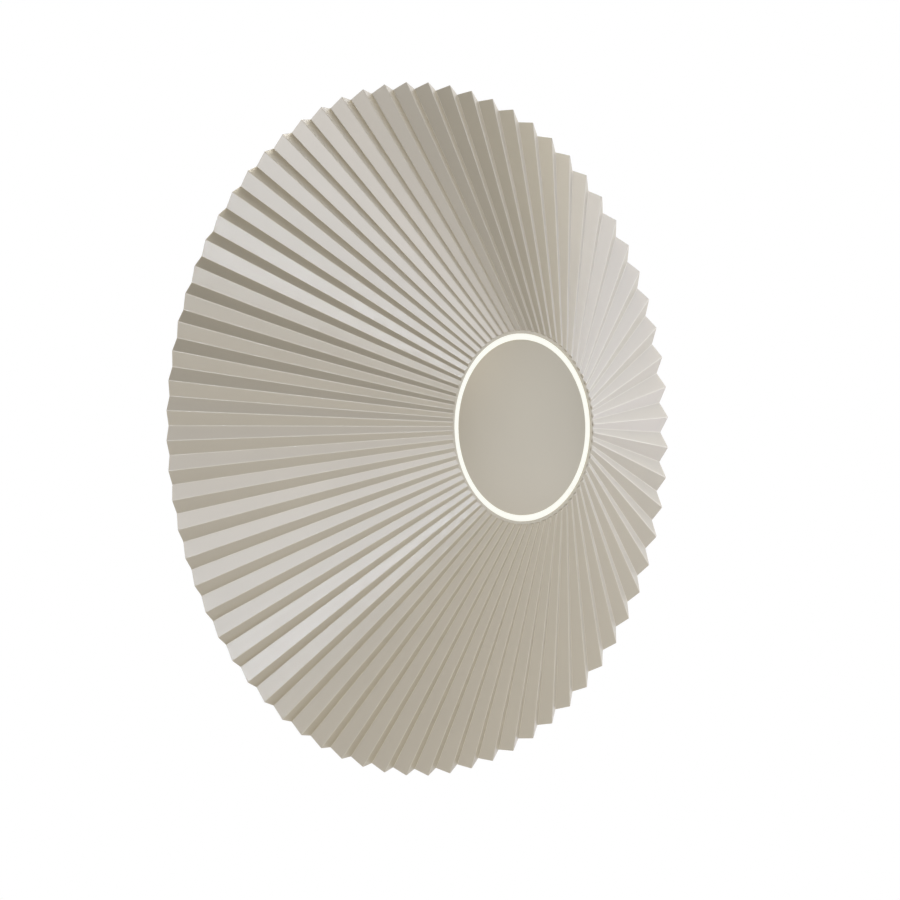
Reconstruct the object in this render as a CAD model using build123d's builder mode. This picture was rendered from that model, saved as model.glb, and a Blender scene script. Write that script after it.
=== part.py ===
from build123d import *
import os
from math import cos, radians, sin, tan

# LED wall light: a pleated cone of folded sheet around a round light head.
# Millimetres. +Z is up and the light faces -Y. The origin is the centre of the
# wall bracket's screw pattern, on the wall.

# Overall
shade_diameter = 600.0
projection = 145.0
rim_standoff = 13.5

# Pleats: every fold aims at one point, the apex, in front of the light
pleat_count = 72
ridge_proud = 1.55
valley_rim_inset = 6.2
valley_rim_drop = 3.5
shade_sheet = 1.0
shade_bore_gap = 3.7

# Light head, as seen from the front
lit_outer_radius = 81.0
lit_width = 5.0
disc_recess = 0.6
collar_recess = 0.8

# Head stack, from the lit face back to the deck of the drum
head_depth = 22.5
carrier_sheet = 2.0
collar_flange = 2.5
drum_sheet = 1.2

# Clearances
wall_gap = 0.5
drum_fit = 0.3
bore_fit = 0.2
disc_fit = 0.15
ring_fit = 0.3
seat_fit = 0.1
skirt_gap = 0.3
thread_fit = 0.05

# Allowances by which cutting shapes run past what they cut
cut_margin = 20.0
hole_margin = 2.0

# Collar
seat_reach = 15.3
seat_wall = 3.0
flange_lap = 5.0
hub_screw_count = 6
hub_screw_gap = 0.5

# Diffuser
diffuser_height = 18.0
foot_thickness = 2.5
foot_leg = 2.0
foot_step = 1.5
lead_notch = 9.0

# Front disc and its magnets
disc_sheet = 1.2
disc_edge_radius = 0.6
magnet_count = 4
magnet_ring_share = 0.6
magnet_radius = 6.0
magnet_height = 3.0
post_radius = 5.0
post_bore_depth = 6.0

# LED board
board_thickness = 1.6
board_inset = 1.0
led_count = 72
led_length = 3.5
led_width = 2.8
led_height = 0.7

# Drum and bracket
drum_edge = 12.0
drum_bend = 3.0
bracket_sheet = 1.5
tab_height = 18.0
tab_width = 24.0
tab_cutter = 12.0
tab_count = 3
tab_start_angle = 30.0
side_screw_depth = 10.0
dish_radius = 26.0
dish_height = 3.0
dish_slope = 45.0
slot_spacing_x = 100.0
slot_spacing_z = 60.0
slot_length = 12.0
slot_width = 5.5

# Grommets
cable_hole_radius = 9.0
cable_bore_radius = 5.0
grommet_lip = 2.5
grommet_flange = 2.0
deck_hole_radius = 5.0
deck_bore_radius = 2.8
deck_lip = 1.8
deck_flange = 1.5
deck_hole_angle = 40.0
deck_hole_share = 0.77
groove_fit = 0.1

# Driver
driver_screw_inset = 3.5
driver_width = 42.0
driver_height = 24.0
driver_cover_height = 2.5
driver_corner = 3.0
ear_length = 9.0
ear_width = 16.0
ear_thickness = 3.0
driver_entry_radius = 1.9
driver_entry_depth = 6.0
driver_entry_spacing = 10.0
driver_entry_back = 12.8

# Terminal block
block_length = 36.0
block_width = 20.0
block_height = 15.0
block_z = 42.0
pole_count = 3
pole_spacing = 10.0
well_radius = 2.2
well_depth = 7.0
well_offset = 5.5
entry_radius = 1.9
entry_depth = 8.0
entry_height = 5.5
block_screw_offset = 5.0
block_head_recess = 3.0

# Screws: shank radius, head radius, head height
m4_shank, m4_head, m4_head_height = 2.0, 4.0, 2.6
m3_shank, m3_head, m3_head_height = 1.5, 2.75, 1.8
m4_clearance = 2.25
m3_clearance = 1.7
terminal_screw_radius = 2.0
terminal_screw_height = 3.0
screw_slot_width = 0.8
screw_slot_depth = 1.0
side_screw_reach = 6.0
hub_screw_reach = 1.5
driver_screw_reach = 1.0
post_screw_reach = 5.0
block_screw_length = 13.5

# Earth point
earth_x = -36.0
lug_thickness = 0.8
lug_radius = 4.5
lug_tongue_width = 4.0
lug_tongue_length = 9.0
barrel_radius = 1.9
barrel_length = 6.0
washer_thickness = 0.8
washer_radius = 4.2
washer_teeth = 12
washer_tooth = 0.9

# Inner leads
mains_lead_radius = 1.2
led_lead_radius = 0.8
led_lead_offset = 1.2
lead_entry = 3.0
lead_lift = 0.3
lead_step = 2.0
bend_share = 0.45

# Levels and radii that follow from the values above
shade_radius = shade_diameter / 2
valley_rim_radius = shade_radius - valley_rim_inset
shade_bore_radius = lit_outer_radius + shade_bore_gap
lit_inner_radius = lit_outer_radius - lit_width
seat_outer_radius = shade_bore_radius + seat_reach
bore_rise = projection + ridge_proud - rim_standoff
apex_rise = bore_rise / (1 - shade_bore_radius / shade_radius)
foot_inner_radius = lit_inner_radius - foot_step - foot_leg
board_inner_radius = lit_inner_radius - board_inset
hub_ring_radius = foot_inner_radius - m4_head - hub_screw_gap
flange_inner_radius = hub_ring_radius - flange_lap
driver_screw_x = flange_inner_radius - driver_screw_inset
driver_length = driver_screw_x * 2 - ear_length
magnet_ring_radius = lit_inner_radius * magnet_ring_share
drum_radius = hub_ring_radius + drum_edge
deck_hole_x = hub_ring_radius * deck_hole_share * cos(radians(deck_hole_angle))
deck_hole_z = hub_ring_radius * deck_hole_share * sin(radians(deck_hole_angle))
pitch_angle = 360.0 / pleat_count
collar_face = projection - collar_recess
disc_face = projection - disc_recess
disc_back = disc_face - disc_sheet
carrier_face = projection - head_depth
carrier_back = carrier_face - carrier_sheet
deck_face = carrier_back - collar_flange
deck_back = deck_face - drum_sheet
neck_inner_radius = lit_outer_radius + ring_fit
neck_outer_radius = shade_bore_radius - bore_fit
carrier_radius = neck_inner_radius - ring_fit
led_ring_radius = (board_inner_radius + carrier_radius) / 2
diffuser_base = projection - diffuser_height
foot_top = diffuser_base + foot_thickness
drum_inner_radius = drum_radius - drum_sheet
bracket_radius = drum_inner_radius - drum_fit
board_face = carrier_face + board_thickness
magnet_base = disc_back - magnet_height
driver_front = deck_back
driver_joint = driver_front - driver_height + driver_cover_height
driver_back = driver_front - driver_height
driver_entry_level = driver_front - driver_entry_back
block_front = bracket_sheet + block_height
block_entry_level = bracket_sheet + entry_height
dish_back = dish_height
dish_front = dish_height + bracket_sheet
dish_run = dish_height / tan(radians(dish_slope))
dish_lip = bracket_sheet * tan(radians(dish_slope / 2))

# Folds and their normals
ridge = Vector(shade_radius, 0, -apex_rise)
valley_run = Vector(valley_rim_radius, 0, -apex_rise - valley_rim_drop)
valley = valley_run.rotate(Axis.Z, pitch_angle / 2)
face_lean = abs(ridge.cross(valley).normalized().Z)
valley_slope = (apex_rise + valley_rim_drop) / valley_rim_radius

# Radius and depth from the wall, for turned profiles
section = Plane(origin=(0, 0, 0), x_dir=(1, 0, 0), z_dir=(0, 0, -1))


def front(depth, x=0.0, z=0.0):
    """Plane that faces forward at a depth from the wall."""
    return Plane(origin=(x, -depth, z), x_dir=(1, 0, 0), z_dir=(0, -1, 0))


def rear(depth, x=0.0, z=0.0):
    """Plane that faces the wall at a depth from it."""
    return Plane(origin=(x, -depth, z), x_dir=(-1, 0, 0), z_dir=(0, 1, 0))


def radial(angle, radius, depth):
    """Plane that faces outward at an angle round the light's axis."""
    outward = Vector(cos(radians(angle)), 0, sin(radians(angle)))
    spot = outward * radius + Vector(0, -depth, 0)
    return Plane(origin=spot, x_dir=(0, -1, 0), z_dir=outward)


def sheet_drop(thickness):
    """Depth by which a parallel sheet's other face lies behind the first."""
    return thickness / face_lean


def pleat_corners(rise, drop):
    """Corners of the pleats' star on a plane above the rim, moved back by drop."""
    ridge_radius = shade_radius * (apex_rise - rise) / apex_rise
    valley_radius = (apex_rise - rise) / valley_slope
    level = drop - rim_standoff - rise
    corners = []
    for fold in range(pleat_count):
        low = radians(fold * pitch_angle)
        high = radians((fold + 0.5) * pitch_angle)
        corners.append(Vector(valley_radius * cos(low), level, valley_radius * sin(low)))
        corners.append(Vector(ridge_radius * cos(high), level, ridge_radius * sin(high)))
    return corners


def pleat_cone(low, high, drop):
    """Solid star cone under the pleats, between two planes, moved back by drop."""
    base = pleat_corners(low, drop)
    top = pleat_corners(high, drop)
    panels = zip(base, base[1:] + base[:1], top[1:] + top[:1], top)
    outlines = list(panels) + [base, top]
    return Solid(Shell([Face(Wire.make_polygon(corners, close=True)) for corners in outlines]))


def valley_depth(radius, drop):
    """Depth from the wall of the valley folds, moved back by drop."""
    return rim_standoff + apex_rise - radius * valley_slope - drop


def bend_radii(points):
    """Bend radius at each inner corner of a lead's route."""
    radii = []
    for before, corner, after in zip(points, points[1:], points[2:]):
        first = Vector(*corner) - Vector(*before)
        second = Vector(*after) - Vector(*corner)
        half_turn = radians(first.get_angle(second) / 2)
        radii.append(bend_share * min(first.length, second.length) / tan(half_turn))
    return radii


# Shade: folded sheet, cut square at the rim and round at the bore
sheet = sheet_drop(shade_sheet)
rim_slope = valley_rim_drop / (shade_radius - valley_rim_radius)
with BuildPart() as shade:
    add(pleat_cone(-cut_margin, projection, 0))
    add(pleat_cone(-cut_margin * 2, projection + cut_margin, sheet), mode=Mode.SUBTRACT)
    with BuildSketch(section):
        with BuildLine():
            Polyline(
                (shade_bore_radius, projection + cut_margin),
                (shade_radius + cut_margin, projection + cut_margin),
                (shade_radius + cut_margin, rim_standoff + cut_margin * rim_slope),
                (shade_radius - cut_margin, rim_standoff - cut_margin * rim_slope),
                (shade_bore_radius, rim_standoff - cut_margin * rim_slope),
                close=True,
            )
        make_face()
    revolve(axis=Axis.Y, mode=Mode.INTERSECT)
shade.part.label = "shade"

# Collar: flat rim round the lit ring, with a fluted seat under the pleats
seat_drop = sheet_drop(shade_sheet + seat_fit)
neck_middle = (neck_inner_radius + neck_outer_radius) / 2
with BuildPart() as shade_collar:
    with BuildSketch(section):
        with BuildLine():
            Polyline(
                (neck_middle, collar_face),
                (seat_outer_radius, collar_face),
                (seat_outer_radius, valley_depth(seat_outer_radius, seat_drop) - seat_wall),
                (neck_middle, valley_depth(neck_middle, seat_drop) - seat_wall),
                close=True,
            )
        make_face()
    revolve(axis=Axis.Y)
    add(pleat_cone(0, projection, seat_drop), mode=Mode.INTERSECT)
    with BuildSketch(section):
        with BuildLine():
            Polyline(
                (neck_inner_radius, collar_face),
                (neck_outer_radius, collar_face),
                (neck_outer_radius, deck_face),
                (flange_inner_radius, deck_face),
                (flange_inner_radius, carrier_back),
                (neck_inner_radius, carrier_back),
                close=True,
            )
        make_face()
    revolve(axis=Axis.Y)
    with BuildSketch(front(deck_face)):
        with PolarLocations(hub_ring_radius, hub_screw_count):
            Circle(m4_clearance)
    extrude(amount=collar_flange, mode=Mode.SUBTRACT)
shade_collar.part.label = "shade_collar"

# Diffuser: opal bar, standing on the carrier by an inner leg
lead_direction = Vector(deck_hole_x, 0, deck_hole_z).normalized()
with BuildPart() as diffuser_ring:
    with BuildSketch(section):
        with BuildLine():
            Polyline(
                (foot_inner_radius, carrier_face),
                (foot_inner_radius + foot_leg, carrier_face),
                (foot_inner_radius + foot_leg, diffuser_base),
                (lit_outer_radius, diffuser_base),
                (lit_outer_radius, projection),
                (lit_inner_radius, projection),
                (lit_inner_radius, foot_top),
                (foot_inner_radius, foot_top),
                close=True,
            )
        make_face()
    revolve(axis=Axis.Y)
    notch_centre = lead_direction * (foot_inner_radius + foot_leg / 2)
    notch_plane = Plane(
        origin=notch_centre - Vector(0, carrier_face, 0), x_dir=lead_direction, z_dir=(0, -1, 0)
    )
    with BuildSketch(notch_plane):
        Rectangle(foot_leg * 2, lead_notch)
    extrude(amount=diffuser_base - carrier_face, mode=Mode.SUBTRACT)
diffuser_ring.part.label = "diffuser_ring"

# Front disc: pressed sheet with a skirt that centres it in the lit ring
disc_radius = lit_inner_radius - disc_fit
with BuildPart() as front_disc:
    with BuildSketch(front(foot_top + skirt_gap)):
        Circle(disc_radius)
    extrude(amount=disc_face - foot_top - skirt_gap)
    fillet(front_disc.edges().sort_by(Axis.Y)[0], disc_edge_radius)
    offset(amount=-disc_sheet, openings=front_disc.faces().sort_by(Axis.Y)[-1])
front_disc.part.label = "front_disc"

# Magnets on posts, which hold the front disc
with BuildPart() as disc_magnets:
    with BuildSketch(front(magnet_base)):
        with PolarLocations(magnet_ring_radius, magnet_count):
            Circle(magnet_radius)
    extrude(amount=magnet_height)
disc_magnets.part.label = "disc_magnets"

with BuildPart() as magnet_posts:
    with BuildSketch(front(carrier_face)):
        with PolarLocations(magnet_ring_radius, magnet_count):
            Circle(post_radius)
    extrude(amount=magnet_base - carrier_face)
    with BuildSketch(front(carrier_face)):
        with PolarLocations(magnet_ring_radius, magnet_count):
            Circle(m3_shank + thread_fit)
    extrude(amount=post_bore_depth, mode=Mode.SUBTRACT)
magnet_posts.part.label = "magnet_posts"

with BuildPart() as post_screws:
    with BuildSketch(front(carrier_back - m3_head_height)):
        with PolarLocations(magnet_ring_radius, magnet_count):
            Circle(m3_head)
    extrude(amount=m3_head_height)
    with BuildSketch(front(carrier_back)):
        with PolarLocations(magnet_ring_radius, magnet_count):
            Circle(m3_shank)
    extrude(amount=carrier_sheet + post_screw_reach)
post_screws.part.label = "post_screws"

# LED carrier: plate that spreads the heat of the board
with BuildPart() as led_carrier:
    with BuildSketch(front(carrier_back)):
        Circle(carrier_radius)
        with PolarLocations(hub_ring_radius, hub_screw_count):
            Circle(m4_clearance, mode=Mode.SUBTRACT)
        with PolarLocations(magnet_ring_radius, magnet_count):
            Circle(m3_clearance, mode=Mode.SUBTRACT)
        with Locations((deck_hole_x, deck_hole_z)):
            Circle(deck_bore_radius, mode=Mode.SUBTRACT)
    extrude(amount=carrier_sheet)
led_carrier.part.label = "led_carrier"

# LED board and its packages
with BuildPart() as led_board:
    with BuildSketch(front(carrier_face)):
        Circle(carrier_radius)
        Circle(board_inner_radius, mode=Mode.SUBTRACT)
    extrude(amount=board_thickness)
led_board.part.label = "led_board"

with BuildPart() as led_packages:
    with BuildSketch(front(board_face)):
        with PolarLocations(led_ring_radius, led_count):
            Rectangle(led_width, led_length)
    extrude(amount=led_height)
led_packages.part.label = "led_packages"

# Hub screws: carrier and collar onto the drum's deck
with BuildPart() as hub_screws:
    with BuildSketch(front(carrier_face)):
        with PolarLocations(hub_ring_radius, hub_screw_count):
            Circle(m4_head)
    extrude(amount=m4_head_height)
    with BuildSketch(front(deck_back - hub_screw_reach)):
        with PolarLocations(hub_ring_radius, hub_screw_count):
            Circle(m4_shank)
    extrude(amount=carrier_face - deck_back + hub_screw_reach)
hub_screws.part.label = "hub_screws"

# Body drum: drawn sheet, open to the wall
with BuildPart() as body_drum:
    with BuildSketch(front(wall_gap)):
        Circle(drum_radius)
    extrude(amount=deck_face - wall_gap)
    fillet(body_drum.edges().sort_by(Axis.Y)[0], drum_bend)
    offset(amount=-drum_sheet, openings=body_drum.faces().sort_by(Axis.Y)[-1])
    with BuildSketch(front(deck_back)):
        with PolarLocations(hub_ring_radius, hub_screw_count):
            Circle(m4_shank + thread_fit)
        with Locations((driver_screw_x, 0), (-driver_screw_x, 0)):
            Circle(m4_shank + thread_fit)
        with Locations((deck_hole_x, deck_hole_z)):
            Circle(deck_hole_radius)
    extrude(amount=drum_sheet, mode=Mode.SUBTRACT)
    for tab in range(tab_count):
        angle = tab_start_angle + tab * 360.0 / tab_count
        with BuildSketch(radial(angle, drum_inner_radius - hole_margin, side_screw_depth)):
            Circle(m4_clearance)
        extrude(amount=drum_sheet + hole_margin * 2, mode=Mode.SUBTRACT)
body_drum.part.label = "body_drum"

# Wall bracket: plate with a raised centre, slots and tabs for the drum
with BuildPart() as wall_bracket:
    with BuildSketch(section):
        with BuildLine():
            Polyline(
                (bracket_radius, 0),
                (bracket_radius, bracket_sheet),
                (dish_radius - dish_lip, bracket_sheet),
                (dish_radius - dish_run - dish_lip, dish_front),
                (cable_hole_radius, dish_front),
                (cable_hole_radius, dish_back),
                (dish_radius - dish_run, dish_back),
                (dish_radius, 0),
                close=True,
            )
        make_face()
    revolve(axis=Axis.Y)
    with BuildSketch(front(bracket_sheet)):
        with PolarLocations(bracket_radius, tab_count, start_angle=tab_start_angle):
            Rectangle(tab_cutter, tab_width)
        Circle(bracket_radius, mode=Mode.INTERSECT)
        Circle(bracket_radius - bracket_sheet, mode=Mode.SUBTRACT)
    extrude(amount=tab_height - bracket_sheet)
    with BuildSketch(front(0)):
        with GridLocations(slot_spacing_x, slot_spacing_z, 2, 2):
            SlotOverall(slot_length, slot_width)
        with Locations((earth_x, 0)):
            Circle(m4_shank + thread_fit)
        with Locations((block_screw_offset, block_z), (-block_screw_offset, block_z)):
            Circle(m3_shank + thread_fit)
    extrude(amount=bracket_sheet, mode=Mode.SUBTRACT)
    for tab in range(tab_count):
        angle = tab_start_angle + tab * 360.0 / tab_count
        with BuildSketch(radial(angle, bracket_radius - bracket_sheet - hole_margin, side_screw_depth)):
            Circle(m4_shank + thread_fit)
        extrude(amount=bracket_sheet + hole_margin * 2, mode=Mode.SUBTRACT)
wall_bracket.part.label = "wall_bracket"

# Side screws: drum onto the bracket's tabs
with BuildPart() as side_screws:
    for tab in range(tab_count):
        angle = tab_start_angle + tab * 360.0 / tab_count
        with BuildSketch(radial(angle, drum_radius, side_screw_depth)):
            Circle(m4_head)
        extrude(amount=m4_head_height)
        with BuildSketch(radial(angle, drum_radius - side_screw_reach, side_screw_depth)):
            Circle(m4_shank)
        extrude(amount=side_screw_reach)
side_screws.part.label = "side_screws"

# Cable grommet: rubber, in the bracket's raised centre
with BuildPart() as cable_grommet:
    with BuildSketch(section):
        with BuildLine():
            Polyline(
                (cable_bore_radius, dish_back - grommet_flange),
                (cable_hole_radius + grommet_lip, dish_back - grommet_flange),
                (cable_hole_radius + grommet_lip, dish_back - groove_fit),
                (cable_hole_radius - groove_fit, dish_back - groove_fit),
                (cable_hole_radius - groove_fit, dish_front + groove_fit),
                (cable_hole_radius + grommet_lip, dish_front + groove_fit),
                (cable_bore_radius + grommet_lip, dish_front + grommet_flange),
                (cable_bore_radius, dish_front + grommet_flange),
                close=True,
            )
        make_face()
    revolve(axis=Axis.Y)
cable_grommet.part.label = "cable_grommet"

# Deck grommet: rubber, where the LED leads pass the drum's deck
with BuildPart() as deck_grommet:
    with BuildSketch(front(deck_back - groove_fit, deck_hole_x, deck_hole_z)):
        Circle(deck_hole_radius - groove_fit)
    extrude(amount=drum_sheet + groove_fit * 2)
    with BuildSketch(front(deck_face + groove_fit, deck_hole_x, deck_hole_z)):
        Circle(deck_hole_radius + deck_lip)
    extrude(amount=deck_flange)
    with BuildSketch(rear(deck_back - groove_fit, deck_hole_x, deck_hole_z)):
        Circle(deck_hole_radius + deck_lip)
    extrude(amount=deck_flange)
    with BuildSketch(front(deck_back - deck_flange - groove_fit, deck_hole_x, deck_hole_z)):
        Circle(deck_bore_radius)
    extrude(amount=drum_sheet + (deck_flange + groove_fit) * 2, mode=Mode.SUBTRACT)
deck_grommet.part.label = "deck_grommet"

# Driver: moulded case under the deck, with its cover, ears and screws
entry_rows = [-driver_entry_spacing / 2, driver_entry_spacing / 2]
with BuildPart() as driver_case:
    with BuildSketch(front(driver_joint)):
        RectangleRounded(driver_length, driver_width, driver_corner)
    extrude(amount=driver_front - driver_joint)
    with BuildSketch(front(driver_front - ear_thickness)):
        Rectangle(driver_length + ear_length * 2, ear_width)
        with Locations((driver_screw_x, 0), (-driver_screw_x, 0)):
            Circle(m4_clearance, mode=Mode.SUBTRACT)
    extrude(amount=ear_thickness)
    for side in (-1, 1):
        end_plane = Plane(
            origin=(side * driver_length / 2, -driver_entry_level, 0),
            x_dir=(0, 0, 1), z_dir=(side, 0, 0),
        )
        with BuildSketch(end_plane):
            with Locations(*[(row, 0) for row in entry_rows]):
                Circle(driver_entry_radius)
        extrude(amount=-driver_entry_depth, mode=Mode.SUBTRACT)
driver_case.part.label = "driver_case"

with BuildPart() as driver_cover:
    with BuildSketch(front(driver_back)):
        RectangleRounded(driver_length, driver_width, driver_corner)
    extrude(amount=driver_cover_height)
    chamfer(driver_cover.faces().sort_by(Axis.Y)[-1].edges(), driver_cover_height / 2)
driver_cover.part.label = "driver_cover"

with BuildPart() as driver_screws:
    with BuildSketch(rear(driver_front - ear_thickness)):
        with Locations((driver_screw_x, 0), (-driver_screw_x, 0)):
            Circle(m4_head)
    extrude(amount=m4_head_height)
    with BuildSketch(front(driver_front - ear_thickness)):
        with Locations((driver_screw_x, 0), (-driver_screw_x, 0)):
            Circle(m4_shank)
    extrude(amount=ear_thickness + drum_sheet + driver_screw_reach)
driver_screws.part.label = "driver_screws"

# Terminal block on the bracket
poles = [(pole - (pole_count - 1) / 2) * pole_spacing for pole in range(pole_count)]
well_spots = [(x, block_z + row) for x in poles for row in (-well_offset, well_offset)]
screw_spots = [(block_screw_offset, block_z), (-block_screw_offset, block_z)]
with BuildPart() as terminal_block:
    with BuildSketch(front(bracket_sheet)):
        with Locations((0, block_z)):
            Rectangle(block_length, block_width)
    extrude(amount=block_height)
    with BuildSketch(front(block_front)):
        with Locations(*well_spots):
            Circle(well_radius)
    extrude(amount=-well_depth, mode=Mode.SUBTRACT)
    with BuildSketch(front(block_front)):
        with Locations(*screw_spots):
            Circle(m3_head + thread_fit)
    extrude(amount=-block_head_recess, mode=Mode.SUBTRACT)
    with BuildSketch(front(block_front)):
        with Locations(*screw_spots):
            Circle(m3_clearance)
    extrude(amount=-block_height, mode=Mode.SUBTRACT)
    for side in (-1, 1):
        entry_plane = Plane(
            origin=(0, -block_entry_level, block_z + side * block_width / 2),
            x_dir=(1, 0, 0), z_dir=(0, 0, side),
        )
        with BuildSketch(entry_plane):
            with Locations(*[(x, 0) for x in poles]):
                Circle(entry_radius)
        extrude(amount=-entry_depth, mode=Mode.SUBTRACT)
terminal_block.part.label = "terminal_block"

well_floor = block_front - well_depth
with BuildPart() as terminal_screws:
    with BuildSketch(front(well_floor)):
        with Locations(*well_spots):
            Circle(terminal_screw_radius)
    extrude(amount=terminal_screw_height)
    with BuildSketch(front(well_floor + terminal_screw_height)):
        with Locations(*well_spots):
            Rectangle(terminal_screw_radius * 2, screw_slot_width)
    extrude(amount=-screw_slot_depth, mode=Mode.SUBTRACT)
terminal_screws.part.label = "terminal_screws"

with BuildPart() as block_screws:
    with BuildSketch(front(block_front - block_head_recess)):
        with Locations(*screw_spots):
            Circle(m3_head)
    extrude(amount=m3_head_height)
    with BuildSketch(front(block_front - block_head_recess)):
        with Locations(*screw_spots):
            Circle(m3_shank)
    extrude(amount=-block_screw_length)
block_screws.part.label = "block_screws"

# Earth point on the bracket: ring lug, toothed washer and screw
barrel_level = bracket_sheet + barrel_radius
barrel_z = lug_radius + lug_tongue_length
with BuildPart() as earth_lug:
    with BuildSketch(front(bracket_sheet)):
        with Locations((earth_x, 0)):
            Circle(lug_radius)
        with Locations((earth_x, barrel_z / 2)):
            Rectangle(lug_tongue_width, barrel_z)
        with Locations((earth_x, 0)):
            Circle(m4_clearance, mode=Mode.SUBTRACT)
    extrude(amount=lug_thickness)
    barrel_plane = Plane(
        origin=(earth_x, -barrel_level, barrel_z - barrel_length / 2), x_dir=(1, 0, 0), z_dir=(0, 0, 1)
    )
    with BuildSketch(barrel_plane):
        Circle(barrel_radius)
    extrude(amount=barrel_length)
    with BuildSketch(barrel_plane):
        Circle(mains_lead_radius + thread_fit)
    extrude(amount=barrel_length, mode=Mode.SUBTRACT)
earth_lug.part.label = "earth_lug"

with BuildPart() as earth_washer:
    with BuildSketch(front(bracket_sheet + lug_thickness)):
        with Locations((earth_x, 0)):
            Circle(washer_radius)
            with PolarLocations(washer_radius, washer_teeth):
                Rectangle(washer_tooth, washer_tooth)
        with Locations((earth_x, 0)):
            Circle(m4_clearance, mode=Mode.SUBTRACT)
    extrude(amount=washer_thickness)
earth_washer.part.label = "earth_washer"

earth_seat = bracket_sheet + lug_thickness + washer_thickness
with BuildPart() as earth_screw:
    with BuildSketch(front(earth_seat)):
        with Locations((earth_x, 0)):
            Circle(m4_head)
    extrude(amount=m4_head_height)
    with BuildSketch(front(0)):
        with Locations((earth_x, 0)):
            Circle(m4_shank)
    extrude(amount=earth_seat)
earth_screw.part.label = "earth_screw"

# Inner leads, as (X, depth from the wall, Z). Distances across are in pole
# spacings, in shares of the bay beside the driver, or in lead steps.
block_top = block_z + block_width / 2
driver_end = driver_length / 2
row_low, row_high = entry_rows
bay = drum_inner_radius - driver_end


def route(points):
    """Route points in the light's own frame."""
    return [(x, -depth, z) for x, depth, z in points]


def climb(share):
    """Depth at a share of the way from the terminal block to the driver's entries."""
    return block_entry_level + (driver_entry_level - block_entry_level) * share


live_route = route([
    (poles[0], block_entry_level, block_top - lead_entry),
    (poles[0], block_entry_level, block_top + pole_spacing * 1.2),
    (poles[0] - pole_spacing * 1.2, climb(0.34), block_top + pole_spacing * 0.8),
    (poles[0] - pole_spacing * 3.4, climb(0.71), block_top - pole_spacing * 1.4),
    (-driver_end - bay * 0.59, climb(0.96), row_high + pole_spacing * 1.2),
    (-driver_end - bay * 0.5, driver_entry_level, row_high),
    (-driver_end + lead_entry, driver_entry_level, row_high),
])
neutral_route = route([
    (poles[1], block_entry_level, block_top - lead_entry),
    (poles[1], block_entry_level, block_top + pole_spacing * 1.7),
    (poles[1] - pole_spacing * 1.2, climb(0.38), block_top + pole_spacing * 1.4),
    (poles[1] - pole_spacing * 4.0, climb(0.67), block_top),
    (-driver_end - bay * 0.75, climb(0.88), row_low + pole_spacing * 2.0),
    (-driver_end - bay * 0.71, driver_entry_level, row_low),
    (-driver_end + lead_entry, driver_entry_level, row_low),
])
earth_route = route([
    (poles[2], block_entry_level, block_top - lead_entry),
    (poles[2], block_entry_level, block_top + pole_spacing),
    (poles[2] - pole_spacing * 1.2, climb(0.155), block_top + pole_spacing * 1.3),
    (poles[0] - pole_spacing, climb(0.175), block_top + pole_spacing * 0.2),
    (earth_x, climb(0.072), barrel_z + pole_spacing * 1.6),
    (earth_x, barrel_level, barrel_z + pole_spacing),
    (earth_x, barrel_level, barrel_z - barrel_length / 2 + lead_lift),
])


def led_route(row, side):
    """Route of an LED lead from the driver through the deck to the board."""
    aside = Vector(-lead_direction.Z, 0, lead_direction.X) * led_lead_offset * side
    hole = Vector(deck_hole_x, 0, deck_hole_z) + aside
    knee = hole + lead_direction * lead_step * 6
    end = lead_direction * (board_inner_radius + lead_lift) + aside
    pad = board_face + led_lead_radius + lead_lift
    swing = driver_end + bay * (0.5 + side * 0.13)
    turn = lead_step * (8 + side)
    return route([
        (driver_end - lead_entry, driver_entry_level, row),
        (swing, driver_entry_level, row + lead_step / 2),
        (swing - lead_step, driver_entry_level - lead_step * 2, driver_width / 2 + lead_step),
        (hole.X, deck_back - turn, hole.Z + lead_step / 2),
        (hole.X, deck_back - lead_step * 2, hole.Z),
        (hole.X, pad - lead_step / 2, hole.Z),
        (knee.X, pad, knee.Z),
        (end.X, pad, end.Z),
    ])


leads = {
    "live_lead": (live_route, mains_lead_radius),
    "neutral_lead": (neutral_route, mains_lead_radius),
    "earth_lead": (earth_route, mains_lead_radius),
    "led_positive_lead": (led_route(row_high, -1), led_lead_radius),
    "led_negative_lead": (led_route(row_low, 1), led_lead_radius),
}

pieces = [
    shade, shade_collar, diffuser_ring, front_disc, disc_magnets, magnet_posts, post_screws,
    led_carrier, led_board, led_packages, hub_screws, body_drum, wall_bracket, side_screws,
    cable_grommet, deck_grommet, driver_case, driver_cover, driver_screws, terminal_block,
    terminal_screws, block_screws, earth_lug, earth_washer, earth_screw,
]

for name, (points, radius) in leads.items():
    radii = bend_radii(points)
    with BuildPart() as lead:
        with BuildLine() as path:
            FilletPolyline(*points, radius=radii)
        with BuildSketch(Plane(origin=path.line @ 0, z_dir=path.line % 0)):
            Circle(radius)
        sweep(path=path.line)
    lead.part.label = name
    pieces.append(lead)
    print(name, "length", round(path.wires()[0].length, 1), "radii", [round(bend, 1) for bend in radii])

os.makedirs("parts", exist_ok=True)
for piece in pieces:
    export_step(piece.part, f"parts/{piece.part.label}.step")
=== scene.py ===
import math

import bpy
from mathutils import Matrix, Vector


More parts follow.
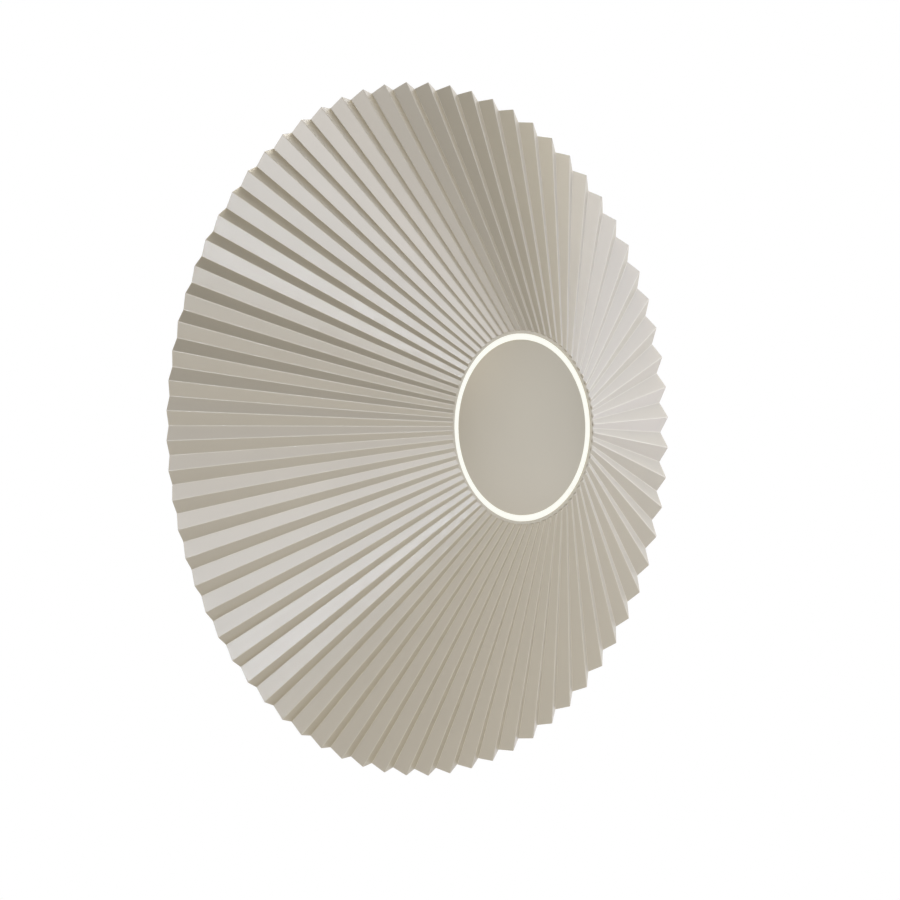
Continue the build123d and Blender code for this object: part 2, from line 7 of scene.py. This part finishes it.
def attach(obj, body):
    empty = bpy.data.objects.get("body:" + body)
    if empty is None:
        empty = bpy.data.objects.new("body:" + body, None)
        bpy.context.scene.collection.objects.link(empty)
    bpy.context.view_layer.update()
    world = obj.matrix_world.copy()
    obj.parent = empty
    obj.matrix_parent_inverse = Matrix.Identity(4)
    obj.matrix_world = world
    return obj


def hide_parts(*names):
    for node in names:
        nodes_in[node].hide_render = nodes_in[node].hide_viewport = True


# A round LED wall light: a pleated sheet cone, a flat disc and a thin lit ring.
# Metres. The wall is the plane Y = 0, the light faces -Y, and +Z is up.
# A depth is a distance from the wall, and a radius is taken from the light's own axis.

MM = 0.001

# Pleated shade; a face smaller than FOLD_AREA lies on the bend of a fold
PLEATS = 72
RIM_RADIUS = 300 * MM
RIM_DEPTH = 13.5 * MM
BORE_RADIUS = 84.2 * MM
RIDGE_BORE_DEPTH = 146.86 * MM
VALLEY_RIM_RADIUS = 293.8 * MM
VALLEY_RIM_DEPTH = 10.0 * MM
VALLEY_BORE_DEPTH = 144.75 * MM
SHEET = 1.0 * MM
RIDGE_BEND = 0.55 * MM
RIDGE_BEND_CUTS = 4
VALLEY_BEND = 0.45 * MM
VALLEY_BEND_CUTS = 3
VALLEY_TOLERANCE = 0.01
FOLD_AREA = 500 * MM * MM
SHADE_SMOOTH = math.radians(35)

# Lit ring, whose foot stands on the LED carrier
CARRIER_FACE = 122.5 * MM
FOOT_INNER = 72.5 * MM
FOOT_OUTER = 74.5 * MM
FOOT_TOP = 129.5 * MM
RING_BASE = 127.0 * MM
RING_OUTER = 81.2 * MM
RING_INNER = 76.0 * MM
RING_FACE = 144.65 * MM
RING_EDGE = 0.25 * MM

# Front disc
DISC_RADIUS = 75.85 * MM
DISC_FACE = 144.45 * MM
DISC_BACK = 129.8 * MM
DISC_SHEET = 1.2 * MM
DISC_EDGE = 0.3 * MM
DISC_EDGE_CUTS = 3

# Collar's lip round the lit ring
LIP_INNER = 81.4 * MM
LIP_OUTER = 84.15 * MM
LIP_FACE = 145.2 * MM
LIP_ROOT = 142.5 * MM
LIP_EDGE = 0.12 * MM
COLLAR_SMOOTH = math.radians(20)

# Every mesh; FORWARD lays the axis of a primitive along -Y
FORWARD = (math.radians(90), 0, 0)
TURNED_SIDES = 256
EDGE_CUTS = 2
EDGE_ANGLE = math.radians(40)
SMOOTH_ANGLE = math.radians(30)
MERGE_DISTANCE = 0.01 * MM
FLAT_WEIGHT = 100

# Satin paint
PAINT = (0.53, 0.457, 0.315)
PAINT_METAL = 0.4
PAINT_IOR = 3.0
PAINT_ROUGHNESS = 0.34
ROUGHNESS_SPREAD = 0.03
PAINT_GRAIN = 1600
PAINT_RELIEF = 0.06
CLOUD_SCALE = 11
CLOUD_SHADE = 0.015
CLOUD_RANGE = (0.35, 0.65)
# Painted highlight along the folds: a paler colour laid over the faces on the bend of each fold
FOLD_HIGHLIGHT_PAINT = (0.80, 0.72, 0.55)
FOLD_HIGHLIGHT_SHARE = 0.35
BACK_ROUGHNESS = 0.75
FINE_RELIEF_DEPTH = 0.1 * MM

# Plain finishes
PLAIN_GRAIN = 900
PLAIN_RELIEF = 0.1
PLAIN_RELIEF_DEPTH = 0.2 * MM
PLAIN_DARK = 0.96
GRAIN_RANGE = (0.3, 0.7)

# Sleeves of the leads; the stripe fades in between two shares of a side's normal along Y
SLEEVE_GRAIN = 700
SLEEVE_RELIEF = 0.05
SLEEVE_DARK = 0.92
SLEEVE_ROUGHNESS = 0.42
STRIPE_RANGE = (0.70, 0.74)

# Lit opal
OPAL_BODY = (0.20, 0.20, 0.18)
OPAL_ROUGHNESS = 0.5
OPAL_GLOW = (0.965, 0.962, 0.875)
GLOW_STRENGTH = 0.84

# Photograph
PHOTO_PIXELS = 900
MM_PER_PIXEL = 0.8642
CAMERA_AZIMUTH = math.radians(-43.70)
CAMERA_ELEVATION = math.radians(-0.81)
CAMERA_DISTANCE = 3.0
RIM_CENTRE_PIXEL = (416.80, 428.40)

# Studio; the wall and the backdrop fade in between two values of a direction
FLOOR_LEVEL = -0.62
FLOOR_SIZE = 12
FLOOR_PAINT = (0.62, 0.61, 0.58)
FLOOR_ROUGHNESS = 0.8
FLOOR_SEEN = (0.755, 0.75, 0.80)
FLOOR_EVENNESS = 0.5
ROOM_FILL = (0.15, 0.15, 0.15)
LEFT_WALL = (1.267, 1.373, 1.687)
LEFT_WALL_FADE = (0.0, -0.6)
BACKDROP = (1, 1, 1)
BACKDROP_FADE = (-0.15, 0.25)
LAMP_SIZE = 2.1
LAMP_DISTANCE = 3.5
LAMP_TARGET = Vector((0, -0.06, 0))

# Modelling


def start_clean():
    """Object mode, with nothing selected."""
    if bpy.context.object and bpy.context.object.mode != "OBJECT":
        bpy.ops.object.mode_set(mode="OBJECT")
    bpy.ops.object.select_all(action="DESELECT")


def start_edit(kind, pick):
    """Edit mode on the active object, for one kind of element, with all or none selected."""
    bpy.ops.object.mode_set(mode="EDIT")
    bpy.ops.mesh.select_mode(type=kind)
    bpy.ops.mesh.select_all(action=pick)


def pick_vertices(piece, wanted):
    """Selects the vertices whose place is wanted, and nothing else."""
    start_edit("VERT", "DESELECT")
    bpy.ops.object.mode_set(mode="OBJECT")
    for vertex in piece.data.vertices:
        vertex.select = wanted(vertex.co)
    bpy.ops.object.mode_set(mode="EDIT")


def pick_edges(piece, wanted):
    """Selects the edges whose two ends are wanted together, and nothing else."""
    start_edit("EDGE", "DESELECT")
    bpy.ops.object.mode_set(mode="OBJECT")
    points = piece.data.vertices
    for edge in piece.data.edges:
        first, second = edge.vertices
        edge.select = wanted(points[first].co, points[second].co)
    bpy.ops.object.mode_set(mode="EDIT")


def apply_modifier(piece, kind, **settings):
    """Adds one modifier with its settings and applies it."""
    modifier = piece.modifiers.new(kind.title(), kind)
    for name, value in settings.items():
        setattr(modifier, name, value)
    bpy.ops.object.modifier_apply(modifier=modifier.name)


def settle(piece, name, smooth=SMOOTH_ANGLE):
    """Puts the piece's place in its mesh, names it and shades it."""
    if piece.mode != "OBJECT":
        bpy.ops.object.mode_set(mode="OBJECT")
    bpy.ops.object.transform_apply(location=True, rotation=True, scale=True)
    piece.name = name
    piece.data.name = name
    bpy.ops.object.shade_smooth_by_angle(angle=smooth)


def keep_flats(piece):
    """Weights the normals by area, so that a flat face looks flat beside a bend."""
    apply_modifier(
        piece, "WEIGHTED_NORMAL", mode="FACE_AREA", weight=FLAT_WEIGHT, keep_sharp=True,
    )


def turned(name, outline, edge, edge_cuts=EDGE_CUTS, capped=False):
    """A piece turned about the light's axis, drawn out loop by loop along its outline.

    The outline is a list of (radius, depth). It closes on itself and makes a ring, or
    the piece is capped: a flat face then closes each of its two ends.
    """
    start_clean()
    radius, depth = outline[0]
    bpy.ops.mesh.primitive_circle_add(
        vertices=TURNED_SIDES, radius=radius, fill_type="NGON" if capped else "NOTHING",
        location=(0, -depth, 0), rotation=FORWARD,
    )
    piece = bpy.context.object
    bpy.ops.object.transform_apply(location=True, rotation=True, scale=True)
    start_edit("EDGE", "SELECT")
    for next_radius, next_depth in outline[1:] if capped else outline[1:] + outline[:1]:
        bpy.ops.mesh.extrude_edges_move(
            TRANSFORM_OT_translate={"value": (0, depth - next_depth, 0)}
        )
        scale = next_radius / radius
        bpy.ops.transform.resize(value=(scale, 1, scale), center_override=(0, -next_depth, 0))
        radius, depth = next_radius, next_depth
    if capped:
        bpy.ops.mesh.edge_face_add()
    bpy.ops.mesh.select_all(action="SELECT")
    bpy.ops.mesh.remove_doubles(threshold=MERGE_DISTANCE)
    bpy.ops.mesh.normals_make_consistent(inside=False)
    bpy.ops.object.mode_set(mode="OBJECT")
    apply_modifier(
        piece, "BEVEL", width=edge, segments=edge_cuts, limit_method="ANGLE",
        angle_limit=EDGE_ANGLE, use_clamp_overlap=True,
    )
    settle(piece, name)
    return piece


# Places on the folded sheet


def fold_angle(point):
    """Angle of a point round the light's axis, in folds from +X: the valleys are even."""
    return math.degrees(math.atan2(point.z, point.x)) / (180 / PLEATS)


def on_valley(point):
    """True for a point that is nearer to a valley than to a ridge."""
    return round(fold_angle(point)) % 2 == 0


def far_out(point):
    """True for a point at the rim, not at the bore."""
    return math.hypot(point.x, point.z) > RIM_RADIUS / 2


def ridge_run(first, second):
    """True for an edge that runs along a ridge, from the rim to the bore."""
    return far_out(first) != far_out(second) and not on_valley(first) and not on_valley(second)


def valley_run(first, second):
    """True for an edge that runs along a valley, from the rim to the bore."""
    if far_out(first) == far_out(second):
        return False
    angles = (fold_angle(first), fold_angle(second))
    return all(abs(angle - 2 * round(angle / 2)) < VALLEY_TOLERANCE for angle in angles)


# Parts of a finish


def new_material(name):
    """A material with its shader, as (material, nodes, links, shader)."""
    material = bpy.data.materials.new(name)
    material.use_nodes = True
    nodes, links = material.node_tree.nodes, material.node_tree.links
    return material, nodes, links, nodes["Principled BSDF"]


def shaded(colour, part):
    """The colour, darker or lighter by a part."""
    return tuple(channel * part for channel in colour)


def grain(nodes, links, scale, detail, roughness):
    """Noise on the piece's own coordinates, from 0 to 1."""
    place = nodes.new("ShaderNodeTexCoord")
    noise = nodes.new("ShaderNodeTexNoise")
    noise.inputs["Scale"].default_value = scale
    noise.inputs["Detail"].default_value = detail
    noise.inputs["Roughness"].default_value = roughness
    links.new(place.outputs["Object"], noise.inputs["Vector"])
    return noise.outputs["Fac"]


def ramp(nodes, links, source, span, dark, light):
    """Colours from dark to light between two values of the source."""
    node = nodes.new("ShaderNodeValToRGB")
    for stop, position, colour in zip(node.color_ramp.elements, span, (dark, light)):
        stop.position = position
        stop.color = (*colour, 1)
    links.new(source, node.inputs["Fac"])
    return node.outputs["Color"]


def bump(nodes, links, source, shader, strength, depth):
    """Relief from the source, on the shader."""
    node = nodes.new("ShaderNodeBump")
    node.inputs["Strength"].default_value = strength
    node.inputs["Distance"].default_value = depth
    links.new(source, node.inputs["Height"])
    links.new(node.outputs["Normal"], shader.inputs["Normal"])


def face_value(nodes, name):
    """What the faces of the piece hold under a name, from 0 to 1."""
    reader = nodes.new("ShaderNodeAttribute")
    reader.attribute_name = name
    return reader.outputs["Fac"]


def combine(nodes, links, operation, first, second):
    """One value worked out from two."""
    node = nodes.new("ShaderNodeMath")
    node.operation = operation
    links.new(first, node.inputs[0])
    links.new(second, node.inputs[1])
    return node.outputs["Value"]


def scaled(nodes, links, source, factor):
    """The source times a fixed factor."""
    node = nodes.new("ShaderNodeMath")
    node.operation = "MULTIPLY"
    node.inputs[1].default_value = factor
    links.new(source, node.inputs[0])
    return node.outputs["Value"]


def laid_over(nodes, links, body, colour, share):
    """The body's colour, covered by another where the share is 1."""
    mix = nodes.new("ShaderNodeMix")
    mix.data_type = "RGBA"
    mix.inputs["B"].default_value = (*colour, 1)
    links.new(share, mix.inputs["Factor"])
    links.new(body, mix.inputs["A"])
    return mix.outputs["Result"]


def mix_shaders(nodes, links, share, first, second):
    """The first shader, which gives way to the second where the share is 1."""
    mixer = nodes.new("ShaderNodeMixShader")
    links.new(share, mixer.inputs["Fac"])
    links.new(first, mixer.inputs[1])
    links.new(second, mixer.inputs[2])
    return mixer.outputs["Shader"]


# Finishes


def satin_paint(name, folded=False):
    """Satin metallic paint: a warm body, a neutral gloss, fine grain and faint clouds.

    On a folded sheet a painted highlight, a paler colour, is laid along the bends of the folds,
    and the paint is matt on the back.
    """
    material, nodes, links, shader = new_material(name)
    cloud = grain(nodes, links, scale=CLOUD_SCALE, detail=2, roughness=0.5)
    body = ramp(
        nodes, links, cloud, CLOUD_RANGE,
        dark=shaded(PAINT, 1 - CLOUD_SHADE), light=shaded(PAINT, 1 + CLOUD_SHADE),
    )
    # Painted highlight: the faces on the bend of a fold get a paler colour
    if folded:
        share = scaled(nodes, links, face_value(nodes, "fold"), FOLD_HIGHLIGHT_SHARE)
        body = laid_over(nodes, links, body, FOLD_HIGHLIGHT_PAINT, share)
    links.new(body, shader.inputs["Base Color"])
    fine = grain(nodes, links, scale=PAINT_GRAIN, detail=2, roughness=0.6)
    gloss = nodes.new("ShaderNodeMapRange")
    gloss.inputs["To Min"].default_value = PAINT_ROUGHNESS - ROUGHNESS_SPREAD
    gloss.inputs["To Max"].default_value = PAINT_ROUGHNESS + ROUGHNESS_SPREAD
    links.new(fine, gloss.inputs["Value"])
    roughness = gloss.outputs["Result"]
    if folded:
        matt = nodes.new("ShaderNodeMix")
        matt.inputs["B"].default_value = BACK_ROUGHNESS
        links.new(face_value(nodes, "back"), matt.inputs["Factor"])
        links.new(roughness, matt.inputs["A"])
        roughness = matt.outputs["Result"]
    links.new(roughness, shader.inputs["Roughness"])
    bump(nodes, links, fine, shader, strength=PAINT_RELIEF, depth=FINE_RELIEF_DEPTH)
    shader.inputs["Metallic"].default_value = PAINT_METAL
    shader.inputs["IOR"].default_value = PAINT_IOR
    return material


def plain(name, colour, rough, metal=0.0, scale=PLAIN_GRAIN, relief=PLAIN_RELIEF):
    """A plain finish with fine grain in its colour and its relief."""
    material, nodes, links, shader = new_material(name)
    fine = grain(nodes, links, scale=scale, detail=3, roughness=0.6)
    body = ramp(nodes, links, fine, GRAIN_RANGE, dark=shaded(colour, PLAIN_DARK), light=colour)
    links.new(body, shader.inputs["Base Color"])
    bump(nodes, links, fine, shader, strength=relief, depth=PLAIN_RELIEF_DEPTH)
    shader.inputs["Roughness"].default_value = rough
    shader.inputs["Metallic"].default_value = metal
    return material


def sleeve(name, colour, stripe=None):
    """Soft plastic sleeve of a lead, with a stripe of a second colour on two of its sides."""
    material, nodes, links, shader = new_material(name)
    fine = grain(nodes, links, scale=SLEEVE_GRAIN, detail=2, roughness=0.5)
    body = ramp(nodes, links, fine, GRAIN_RANGE, dark=shaded(colour, SLEEVE_DARK), light=colour)
    if stripe:
        facing = nodes.new("ShaderNodeTexCoord")
        axes = nodes.new("ShaderNodeSeparateXYZ")
        links.new(facing.outputs["Normal"], axes.inputs["Vector"])
        side = nodes.new("ShaderNodeMath")
        side.operation = "ABSOLUTE"
        links.new(axes.outputs["Y"], side.inputs[0])
        band = nodes.new("ShaderNodeMapRange")
        band.inputs["From Min"].default_value = STRIPE_RANGE[0]
        band.inputs["From Max"].default_value = STRIPE_RANGE[1]
        links.new(side.outputs["Value"], band.inputs["Value"])
        body = laid_over(nodes, links, body, stripe, band.outputs["Result"])
    links.new(body, shader.inputs["Base Color"])
    bump(nodes, links, fine, shader, strength=SLEEVE_RELIEF, depth=FINE_RELIEF_DEPTH)
    shader.inputs["Roughness"].default_value = SLEEVE_ROUGHNESS
    return material


def lit_opal(name):
    """Opal plastic, lit from inside."""
    material, _, _, shader = new_material(name)
    shader.inputs["Base Color"].default_value = (*OPAL_BODY, 1)
    shader.inputs["Roughness"].default_value = OPAL_ROUGHNESS
    shader.inputs["Emission Color"].default_value = (*OPAL_GLOW, 1)
    shader.inputs["Emission Strength"].default_value = GLOW_STRENGTH
    return material


# Studio


def seen(nodes, links):
    """What is 1 for camera rays, and what is 1 for mirrored and transmitted ones."""
    paths = nodes.new("ShaderNodeLightPath")
    mirrored = combine(
        nodes, links, "MAXIMUM",
        paths.outputs["Is Glossy Ray"], paths.outputs["Is Transmission Ray"],
    )
    return paths.outputs["Is Camera Ray"], mirrored


def faded(nodes, links, source, fade):
    """A soft step, 0 at the first value of the fade and 1 at the second, either way up."""
    start, end = fade
    step = nodes.new("ShaderNodeMapRange")
    step.interpolation_type = "SMOOTHSTEP"
    step.inputs["From Min"].default_value = min(start, end)
    step.inputs["From Max"].default_value = max(start, end)
    step.inputs["To Min"].default_value = float(start > end)
    step.inputs["To Max"].default_value = float(start < end)
    links.new(source, step.inputs["Value"])
    return step.outputs["Result"]


def floor_finish(name):
    """A pale floor, evened out towards one colour where it is seen."""
    material, nodes, links, shader = new_material(name)
    shader.inputs["Base Color"].default_value = (*FLOOR_PAINT, 1)
    shader.inputs["Roughness"].default_value = FLOOR_ROUGHNESS
    even = nodes.new("ShaderNodeEmission")
    even.inputs["Color"].default_value = (*FLOOR_SEEN, 1)
    camera_ray, mirrored = seen(nodes, links)
    in_view = combine(nodes, links, "MAXIMUM", camera_ray, mirrored)
    share = scaled(nodes, links, in_view, FLOOR_EVENNESS)
    blend = mix_shaders(nodes, links, share, shader.outputs["BSDF"], even.outputs["Emission"])
    links.new(blend, nodes["Material Output"].inputs["Surface"])
    return material


def studio_world(name):
    """A dim room with a pale wall on the left, and a white backdrop behind the light.

    The camera sees white all round, and a surface mirrors it or lets it through where it
    looks towards the backdrop.
    """
    world = bpy.data.worlds.new(name)
    world.use_nodes = True
    nodes, links = world.node_tree.nodes, world.node_tree.links
    direction = nodes.new("ShaderNodeTexCoord")
    axes = nodes.new("ShaderNodeSeparateXYZ")
    links.new(direction.outputs["Generated"], axes.inputs["Vector"])
    room = nodes.new("ShaderNodeMix")
    room.data_type = "RGBA"
    room.inputs["A"].default_value = (*ROOM_FILL, 1)
    room.inputs["B"].default_value = (*LEFT_WALL, 1)
    links.new(faded(nodes, links, axes.outputs["X"], LEFT_WALL_FADE), room.inputs["Factor"])
    fill = nodes["Background"]
    links.new(room.outputs["Result"], fill.inputs["Color"])
    backdrop = nodes.new("ShaderNodeBackground")
    backdrop.inputs["Color"].default_value = (*BACKDROP, 1)
    camera_ray, mirrored = seen(nodes, links)
    behind = faded(nodes, links, axes.outputs["Y"], BACKDROP_FADE)
    reflected = combine(nodes, links, "MULTIPLY", mirrored, behind)
    white = combine(nodes, links, "MAXIMUM", camera_ray, reflected)
    mixed = mix_shaders(
        nodes, links, white, fill.outputs["Background"], backdrop.outputs["Background"],
    )
    links.new(mixed, nodes["World Output"].inputs["Surface"])
    return world


def soft_lamp(name, polar, azimuth, watts):
    """A square soft lamp that faces the light head.

    Polar is the angle in degrees from the light's own axis, azimuth the one round it
    from the right; the watts are those of red, green and blue.
    """
    lamp_data = bpy.data.lights.new(name, "AREA")
    lamp_data.shape = "SQUARE"
    lamp_data.size = LAMP_SIZE
    lamp_data.energy = max(watts)
    lamp_data.color = [part / max(watts) for part in watts]
    lamp = bpy.data.objects.new(name, lamp_data)
    bpy.context.scene.collection.objects.link(lamp)
    polar, azimuth = math.radians(polar), math.radians(azimuth)
    away = Vector((
        math.sin(polar) * math.cos(azimuth), -math.cos(polar), math.sin(polar) * math.sin(azimuth),
    ))
    lamp.location = LAMP_TARGET + away * LAMP_DISTANCE
    lamp.rotation_euler = (-away).to_track_quat("-Z", "Y").to_euler()
    lamp.visible_camera = False


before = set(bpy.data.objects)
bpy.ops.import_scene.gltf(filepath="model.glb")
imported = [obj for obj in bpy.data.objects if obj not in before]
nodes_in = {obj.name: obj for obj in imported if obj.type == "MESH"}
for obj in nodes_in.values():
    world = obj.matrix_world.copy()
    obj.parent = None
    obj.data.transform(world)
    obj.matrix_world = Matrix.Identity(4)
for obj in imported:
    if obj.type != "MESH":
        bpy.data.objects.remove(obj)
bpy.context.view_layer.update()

# Camera, at the photograph's angle of view and with the rim's centre on its pixel
right = Vector((math.cos(CAMERA_AZIMUTH), math.sin(CAMERA_AZIMUTH), 0))
toward = Vector((
    math.sin(CAMERA_AZIMUTH) * math.cos(CAMERA_ELEVATION),
    -math.cos(CAMERA_AZIMUTH) * math.cos(CAMERA_ELEVATION),
    math.sin(CAMERA_ELEVATION),
))
upward = toward.cross(right)
middle_pixel = (PHOTO_PIXELS - 1) / 2
aside = (RIM_CENTRE_PIXEL[0] - middle_pixel) * MM_PER_PIXEL * MM
above = (middle_pixel - RIM_CENTRE_PIXEL[1]) * MM_PER_PIXEL * MM
aim = Vector((0, -RIM_DEPTH, 0)) - right * aside - upward * above

camera_data = bpy.data.cameras.new("camera")
camera_data.type = "ORTHO"
camera_data.ortho_scale = PHOTO_PIXELS * MM_PER_PIXEL * MM
camera = bpy.data.objects.new("camera", camera_data)
bpy.context.scene.collection.objects.link(camera)
camera.matrix_world = Matrix.Translation(aim + toward * CAMERA_DISTANCE) @ Matrix((
    (right.x, upward.x, toward.x, 0),
    (right.y, upward.y, toward.y, 0),
    (right.z, upward.z, toward.z, 0),
    (0, 0, 0, 1),
))
bpy.context.scene.camera = camera

# Pleated shade, from a cone with one edge for each fold
start_clean()
bpy.ops.mesh.primitive_cone_add(
    vertices=PLEATS * 2, radius1=RIM_RADIUS, radius2=BORE_RADIUS,
    depth=RIDGE_BORE_DEPTH - RIM_DEPTH, end_fill_type="NOTHING",
    location=(0, -(RIDGE_BORE_DEPTH + RIM_DEPTH) / 2, 0), rotation=FORWARD,
)
shade = bpy.context.object
bpy.ops.object.transform_apply(location=True, rotation=True, scale=True)

# Every other fold is pushed in, at the rim and at the bore
pick_vertices(shade, lambda point: far_out(point) and on_valley(point))
inward = VALLEY_RIM_RADIUS / RIM_RADIUS
bpy.ops.transform.resize(value=(inward, 1, inward), center_override=(0, 0, 0))
bpy.ops.transform.translate(value=(0, RIM_DEPTH - VALLEY_RIM_DEPTH, 0))
pick_vertices(shade, lambda point: not far_out(point) and on_valley(point))
bpy.ops.transform.translate(value=(0, RIDGE_BORE_DEPTH - VALLEY_BORE_DEPTH, 0))

# The folds are bent round, ridges wider than valleys
for run, bend, cuts in (
    (ridge_run, RIDGE_BEND, RIDGE_BEND_CUTS),
    (valley_run, VALLEY_BEND, VALLEY_BEND_CUTS),
):
    pick_edges(shade, run)
    bpy.ops.mesh.bevel(offset_type="OFFSET", offset=bend, segments=cuts, affect="EDGES")
bpy.ops.mesh.select_all(action="SELECT")
bpy.ops.mesh.normals_make_consistent(inside=False)
bpy.ops.object.mode_set(mode="OBJECT")
bpy.ops.object.shade_smooth()

# The sheet gets its thickness; its faces know whether they lie on a fold, where the paint carries
# a painted highlight, and at the back
fold = shade.data.attributes.new("fold", "FLOAT", "FACE")
fold.data.foreach_set("value", [float(face.area < FOLD_AREA) for face in shade.data.polygons])
apply_modifier(shade, "SOLIDIFY", thickness=SHEET, offset=-1, use_even_offset=True)
back = shade.data.attributes.new("back", "FLOAT", "FACE")
back.data.foreach_set("value", [float(face.normal.y > 0) for face in shade.data.polygons])
settle(shade, "pleated_shade", SHADE_SMOOTH)
keep_flats(shade)
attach(shade, "root")
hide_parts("shade")
# Satin paint, with a painted highlight along the folds and a matt back
shade.data.materials.append(satin_paint("satin_shade", folded=True))

# Lit ring
ring = turned("lit_ring", [
    (FOOT_INNER, CARRIER_FACE), (FOOT_OUTER, CARRIER_FACE), (FOOT_OUTER, RING_BASE),
    (RING_OUTER, RING_BASE), (RING_OUTER, RING_FACE), (RING_INNER, RING_FACE),
    (RING_INNER, FOOT_TOP), (FOOT_INNER, FOOT_TOP),
], RING_EDGE)
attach(ring, "root")
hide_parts("diffuser_ring")
ring.data.materials.append(lit_opal("opal_glow"))

# Front disc
disc = turned("front_plate", [
    (DISC_RADIUS - DISC_SHEET, DISC_FACE - DISC_SHEET), (DISC_RADIUS - DISC_SHEET, DISC_BACK),
    (DISC_RADIUS, DISC_BACK), (DISC_RADIUS, DISC_FACE),
], DISC_EDGE, DISC_EDGE_CUTS, capped=True)
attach(disc, "root")
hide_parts("front_disc")
disc.data.materials.append(satin_paint("satin_disc"))

# Collar: a copy of the carried one, with a raised lip round the lit ring
collar = bpy.data.objects.new("fluted_collar", nodes_in["shade_collar"].data.copy())
bpy.context.scene.collection.objects.link(collar)
lip = turned("collar_lip", [
    (LIP_INNER, LIP_ROOT), (LIP_OUTER, LIP_ROOT), (LIP_OUTER, LIP_FACE), (LIP_INNER, LIP_FACE),
], LIP_EDGE)
start_clean()
collar.select_set(True)
bpy.context.view_layer.objects.active = collar
bpy.ops.mesh.customdata_custom_splitnormals_clear()
start_edit("VERT", "SELECT")
bpy.ops.mesh.remove_doubles(threshold=MERGE_DISTANCE)
bpy.ops.object.mode_set(mode="OBJECT")
lip.select_set(True)
bpy.ops.object.join()
settle(collar, "fluted_collar", COLLAR_SMOOTH)
keep_flats(collar)
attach(collar, "root")
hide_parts("shade_collar")
collar.data.materials.clear()
collar.data.materials.append(satin_paint("satin_collar"))

# Finishes of the carried nodes
zinc = plain("bright_zinc", (0.66, 0.67, 0.68), rough=0.35, metal=1.0, scale=600, relief=0.15)
galvanised = plain(
    "galvanised_steel", (0.58, 0.59, 0.60), rough=0.42, metal=1.0, scale=160, relief=0.2,
)
aluminium = plain(
    "milled_aluminium", (0.78, 0.78, 0.79), rough=0.38, metal=1.0, scale=700, relief=0.15,
)
nickel = plain("nickel_plate", (0.72, 0.71, 0.69), rough=0.25, metal=1.0, relief=0.08)
rubber = plain("grommet_rubber", (0.02, 0.02, 0.02), rough=0.7, scale=700, relief=0.3)
case = plain("grained_case", (0.80, 0.80, 0.78), rough=0.5)
finishes = {
    "body_drum": satin_paint("satin_drum"),
    "side_screws": satin_paint("satin_screws"),
    "disc_magnets": nickel,
    "magnet_posts": aluminium,
    "post_screws": zinc,
    "led_carrier": aluminium,
    "led_board": plain("white_solder_mask", (0.86, 0.86, 0.84), rough=0.4),
    "led_packages": plain("phosphor_dots", (0.85, 0.70, 0.28), rough=0.45),
    "hub_screws": zinc,
    "wall_bracket": galvanised,
    "cable_grommet": rubber,
    "deck_grommet": rubber,
    "driver_case": case,
    "driver_cover": case,
    "driver_screws": zinc,
    "terminal_block": plain("milky_nylon", (0.80, 0.78, 0.70), rough=0.45),
    "terminal_screws": zinc,
    "block_screws": zinc,
    "earth_lug": plain("tinned_lug", (0.70, 0.66, 0.56), rough=0.35, metal=1.0),
    "earth_washer": zinc,
    "earth_screw": zinc,
    "live_lead": sleeve("brown_sleeve", (0.10, 0.045, 0.02)),
    "neutral_lead": sleeve("blue_sleeve", (0.02, 0.09, 0.40)),
    "earth_lead": sleeve("earth_sleeve", (0.08, 0.32, 0.03), stripe=(0.75, 0.62, 0.05)),
    "led_positive_lead": sleeve("red_sleeve", (0.42, 0.02, 0.015)),
    "led_negative_lead": sleeve("black_sleeve", (0.015, 0.015, 0.015)),
}
for node, finish in finishes.items():
    nodes_in[node].data.materials.clear()
    nodes_in[node].data.materials.append(finish)

# Floor, room and lamps
start_clean()
bpy.ops.mesh.primitive_plane_add(size=FLOOR_SIZE, location=(0, 0, FLOOR_LEVEL))
floor = bpy.context.object
floor.name = "floor"
floor.data.materials.append(floor_finish("pale_floor"))

bpy.context.scene.world = studio_world("studio")

soft_lamp("front_left_lamp", polar=48, azimuth=215, watts=(150, 175, 236))
soft_lamp("front_top_left_lamp", polar=45, azimuth=120, watts=(3.8, 3.6, 3.8))
soft_lamp("front_top_lamp", polar=30, azimuth=60, watts=(14.4, 12.5, 9.9))
soft_lamp("front_right_lamp", polar=45, azimuth=0, watts=(11.2, 12.1, 13.8))
soft_lamp("right_lamp", polar=88, azimuth=0, watts=(11.8, 13.3, 17.4))
soft_lamp("top_right_lamp", polar=88, azimuth=30, watts=(6, 7.3, 11.9))
soft_lamp("back_right_lamp", polar=100, azimuth=335, watts=(26.8, 27.5, 34.7))
soft_lamp("back_top_lamp", polar=108, azimuth=60, watts=(122, 123, 123))

bpy.context.scene.view_settings.view_transform = "Standard"
